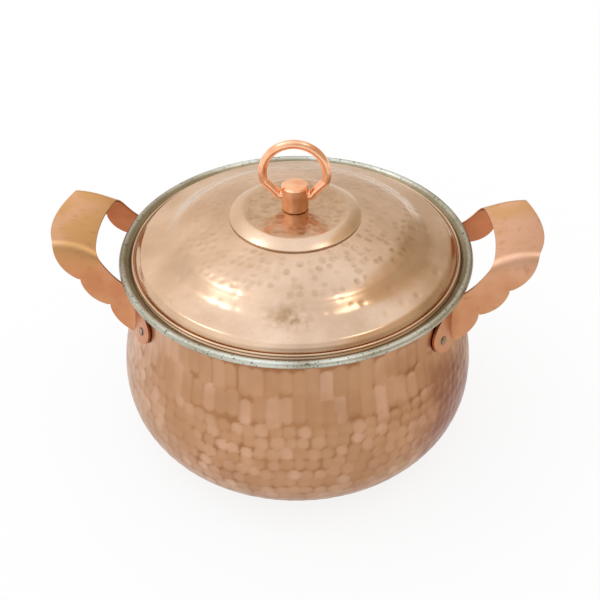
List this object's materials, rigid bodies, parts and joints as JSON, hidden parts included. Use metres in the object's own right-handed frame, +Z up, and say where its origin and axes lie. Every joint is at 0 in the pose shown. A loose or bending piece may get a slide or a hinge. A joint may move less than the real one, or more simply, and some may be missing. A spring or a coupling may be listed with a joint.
{
  "type": "cooking pot with lid",
  "caption": "Hammered copper cooking pot with a flared rolled rim, riveted strap handles and a recessed domed lid that has a swinging wire ring to lift it by",
  "frame": {"origin": "centre of the flat base, on the surface that the pot stands on", "axes": "+X through the right-hand handle, +Y away from the viewer, +Z up through the lid's knob"},
  "size_m": [0.3014, 0.233, 0.2059],
  "materials": {
    "hammered_copper": "hammered copper, satin; the rolled rim and the inside are tinned grey",
    "lid_copper": "lightly hammered copper, bright, smooth at the step and the edge",
    "plate_copper": "lightly hammered copper, polished bevel",
    "bright_copper": "polished copper",
    "handle_copper": "smooth rolled copper sheet, satin",
    "tinned_rivet": "dull tinned copper",
    "zinced_steel": "zinc plated"
  },
  "bodies": {
    "pot": {"pot_body": "hammered_copper", "right_handle": "handle_copper", "left_handle": "handle_copper", "right_front_rivet": "tinned_rivet", "right_back_rivet": "tinned_rivet", "left_front_rivet": "tinned_rivet", "left_back_rivet": "tinned_rivet"},
    "lid": {"lid_shell": "lid_copper", "knob_plate": "plate_copper", "knob_post": "bright_copper", "knob_washer": "zinced_steel", "knob_screw": "zinced_steel"},
    "ring": {"knob_ring": "bright_copper"}
  },
  "joints": [
    {"name": "lid_lift", "type": "slide", "parent": "pot", "child": "lid", "axis": [0, 0, 1], "range_m": [0, 0.15]},
    {"name": "ring_swing", "type": "hinge", "parent": "lid", "child": "ring", "pos_m": [0, 0, 0.16885], "axis": [1, 0, 0], "range_deg": [-98, 98]}
  ]
}
